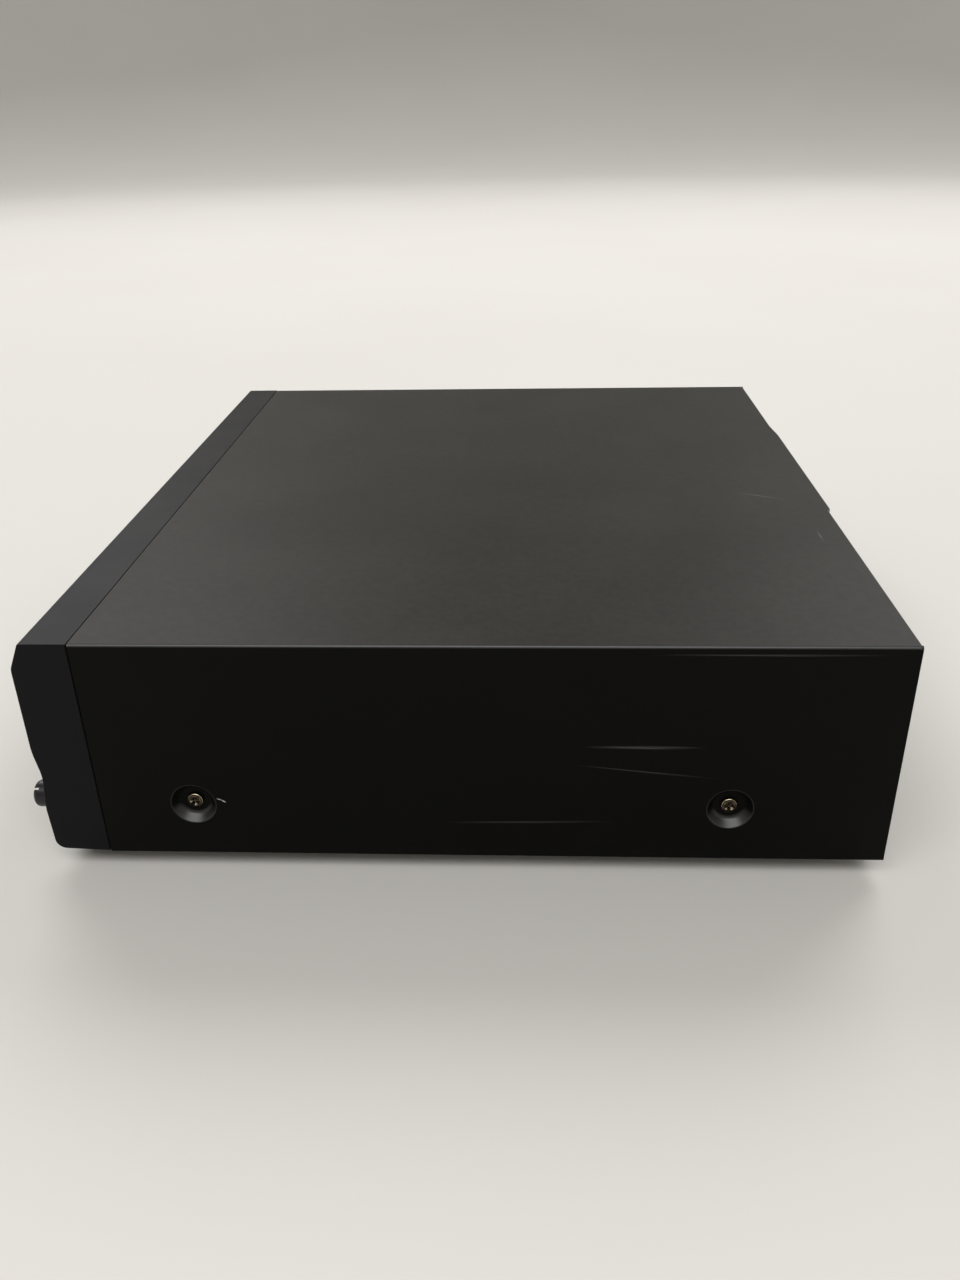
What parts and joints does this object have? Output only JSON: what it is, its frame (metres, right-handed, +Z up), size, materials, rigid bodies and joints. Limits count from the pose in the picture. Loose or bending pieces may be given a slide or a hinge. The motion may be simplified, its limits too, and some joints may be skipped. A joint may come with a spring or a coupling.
{
  "type": "laserdisc player",
  "caption": "Full-width disc player in a painted steel case, with a disc tray, turntable, clamp arm, sliding pickup, front keys and a level knob.",
  "frame": {"origin": "centre of the footprint on the surface that it stands on", "axes": "+X across the front to the viewer's right, +Y to the rear, +Z up"},
  "size_m": [0.42, 0.3964, 0.117],
  "materials": {
    "cover_paint": "satin",
    "rear_paint": "satin",
    "galvanised_steel": "dull zinc",
    "panel_plastic": "fine moulded texture",
    "door_plastic": "fine moulded texture",
    "smoked_acrylic": "polished",
    "display_glass": "clear",
    "foot_plastic": "moulded",
    "foot_rubber": "matt",
    "nickel_screws": "nickel plated",
    "black_screws": "blackened",
    "zinc_screws": "zinc plated",
    "knob_plastic": "moulded",
    "button_plastic": "semi gloss",
    "board_laminate": "solder mask",
    "paper_laminate": "paper laminate",
    "chip_resin": "moulded resin",
    "can_sleeve": "shrink sleeve",
    "core_lacquer": "varnished laminations",
    "extruded_aluminium": "extruded",
    "inlet_plastic": "moulded",
    "gilded_metal": "plated",
    "socket_metal": "nickel plated",
    "flat_cable": "flat flex",
    "deck_plastic": "glass filled",
    "white_acetal": "moulded",
    "tray_plastic": "moulded",
    "rack_plastic": "moulded",
    "motor_steel": "zinc plated",
    "turned_brass": "turned",
    "belt_rubber": "matt",
    "ground_steel": "ground",
    "arm_plastic": "moulded",
    "clamper_plastic": "moulded",
    "cast_aluminium": "machined",
    "mat_rubber": "matt",
    "die_cast": "die cast",
    "lens_glass": "coated"
  },
  "bodies": {
    "root": {"top_cover": "cover_paint", "rear_panel": "rear_paint", "chassis_base": "galvanised_steel", "side_frame_left": "galvanised_steel", "side_frame_right": "galvanised_steel", "clamp_bridge": "galvanised_steel", "front_panel": "panel_plastic", "display_window": "smoked_acrylic", "display_tube": "display_glass", "feet": "foot_plastic", "foot_pads": "foot_rubber", "deck_dampers": "foot_rubber", "side_screws": "nickel_screws", "rear_screws": "black_screws", "foot_screws": "zinc_screws", "front_board": "board_laminate", "main_board": "board_laminate", "power_board": "paper_laminate", "board_chips": "chip_resin", "key_switches": "chip_resin", "level_pot": "chip_resin", "capacitors": "can_sleeve", "power_transformer": "core_lacquer", "heat_sink": "extruded_aluminium", "mains_inlet": "inlet_plastic", "headphone_jack": "inlet_plastic", "control_jacks": "inlet_plastic", "phono_jacks": "gilded_metal", "s_video_socket": "socket_metal", "ribbon_cable": "flat_cable", "mech_deck": "deck_plastic", "tray_guides": "white_acetal", "loading_motor": "motor_steel", "spindle_motor": "motor_steel", "feed_motor": "motor_steel", "drive_belt": "belt_rubber", "gear_shafts": "ground_steel", "guide_shafts": "ground_steel"},
    "tray": {"disc_tray": "tray_plastic", "tray_door": "door_plastic", "tray_rack": "rack_plastic"},
    "drive_gear_wheel": {"drive_gear": "white_acetal"},
    "pulley_wheel": {"pulley_gear": "white_acetal"},
    "motor_wheel": {"motor_pulley": "turned_brass"},
    "spindle": {"turntable": "cast_aluminium", "turntable_mat": "mat_rubber"},
    "arm": {"clamp_arm": "arm_plastic"},
    "puck": {"clamper": "clamper_plastic"},
    "pickup": {"carriage": "die_cast", "objective_lens": "lens_glass"},
    "feed_wheel": {"feed_gear": "white_acetal"},
    "feed_motor_wheel": {"feed_pinion": "turned_brass"},
    "knob": {"level_knob": "knob_plastic"},
    "power_button_cap": {"power_button": "button_plastic"},
    "open_close_button_cap": {"open_close_button": "button_plastic"},
    "skip_back_button_cap": {"skip_back_button": "button_plastic"},
    "skip_forward_button_cap": {"skip_forward_button": "button_plastic"},
    "pause_button_cap": {"pause_button": "button_plastic"},
    "stop_button_cap": {"stop_button": "button_plastic"},
    "play_button_cap": {"play_button": "button_plastic"}
  },
  "joints": [
    {"name": "tray_slide", "type": "slide", "parent": "root", "child": "tray", "axis": [0, -1, 0], "range_m": [0, 0.3]},
    {"name": "drive_gear_spin", "type": "hinge", "parent": "root", "child": "drive_gear_wheel", "pos_m": [-0.09525, -0.14275, 0.065], "axis": [0, 0, 1], "range_deg": [0, 1796]},
    {"name": "pulley_gear_spin", "type": "hinge", "parent": "root", "child": "pulley_wheel", "pos_m": [-0.0695, -0.14275, 0.056], "axis": [0, 0, 1], "range_deg": [-6400, 0]},
    {"name": "motor_pulley_spin", "type": "hinge", "parent": "root", "child": "motor_wheel", "pos_m": [-0.0245, -0.14275, 0.052], "axis": [0, 0, 1], "range_deg": [-24785, 0]},
    {"name": "spindle_spin", "type": "hinge", "parent": "root", "child": "spindle", "pos_m": [0, -0.01275, 0.07], "axis": [0, 0, 1], "continuous": true},
    {"name": "clamp_lift", "type": "hinge", "parent": "root", "child": "arm", "pos_m": [0, 0.11325, 0.099], "axis": [-1, 0, 0], "range_deg": [0, 6]},
    {"name": "clamper_spin", "type": "hinge", "parent": "arm", "child": "puck", "pos_m": [0, -0.01275, 0.09], "axis": [0, 0, 1], "continuous": true},
    {"name": "pickup_slide", "type": "slide", "parent": "root", "child": "pickup", "axis": [0, 1, 0], "range_m": [0, 0.112]},
    {"name": "feed_gear_spin", "type": "hinge", "parent": "root", "child": "feed_wheel", "pos_m": [0.05355, 0.03725, 0.055], "axis": [0, 0, 1], "range_deg": [-1008, 0]},
    {"name": "feed_pinion_spin", "type": "hinge", "parent": "root", "child": "feed_motor_wheel", "pos_m": [0.0708, 0.03725, 0.057], "axis": [0, 0, 1], "range_deg": [0, 3766]},
    {"name": "level_turn", "type": "hinge", "parent": "root", "child": "knob", "pos_m": [0.196, -0.18875, 0.0314], "axis": [0, -1, 0], "range_deg": [-150, 150]},
    {"name": "power_press", "type": "slide", "parent": "root", "child": "power_button_cap", "axis": [0, 1, 0], "range_m": [0, 0.0008], "stiffness_N_per_m": 300},
    {"name": "open_close_press", "type": "slide", "parent": "root", "child": "open_close_button_cap", "axis": [0, 1, 0], "range_m": [0, 0.0008], "stiffness_N_per_m": 300},
    {"name": "skip_back_press", "type": "slide", "parent": "root", "child": "skip_back_button_cap", "axis": [0, 1, 0], "range_m": [0, 0.0008], "stiffness_N_per_m": 300},
    {"name": "skip_forward_press", "type": "slide", "parent": "root", "child": "skip_forward_button_cap", "axis": [0, 1, 0], "range_m": [0, 0.0008], "stiffness_N_per_m": 300},
    {"name": "pause_press", "type": "slide", "parent": "root", "child": "pause_button_cap", "axis": [0, 1, 0], "range_m": [0, 0.0008], "stiffness_N_per_m": 300},
    {"name": "stop_press", "type": "slide", "parent": "root", "child": "stop_button_cap", "axis": [0, 1, 0], "range_m": [0, 0.0008], "stiffness_N_per_m": 300},
    {"name": "play_press", "type": "slide", "parent": "root", "child": "play_button_cap", "axis": [0, 1, 0], "range_m": [0, 0.0008], "stiffness_N_per_m": 300}
  ],
  "couplings": [
    {"joint": "drive_gear_spin", "follows": "tray_slide", "rad_per_m": 104.17},
    {"joint": "pulley_gear_spin", "follows": "tray_slide", "rad_per_m": -372.02},
    {"joint": "motor_pulley_spin", "follows": "tray_slide", "rad_per_m": -1441.6},
    {"joint": "clamper_spin", "follows": "spindle_spin", "ratio": 1},
    {"joint": "feed_gear_spin", "follows": "pickup_slide", "rad_per_m": -156.25},
    {"joint": "feed_pinion_spin", "follows": "pickup_slide", "rad_per_m": 585.94}
  ]
}
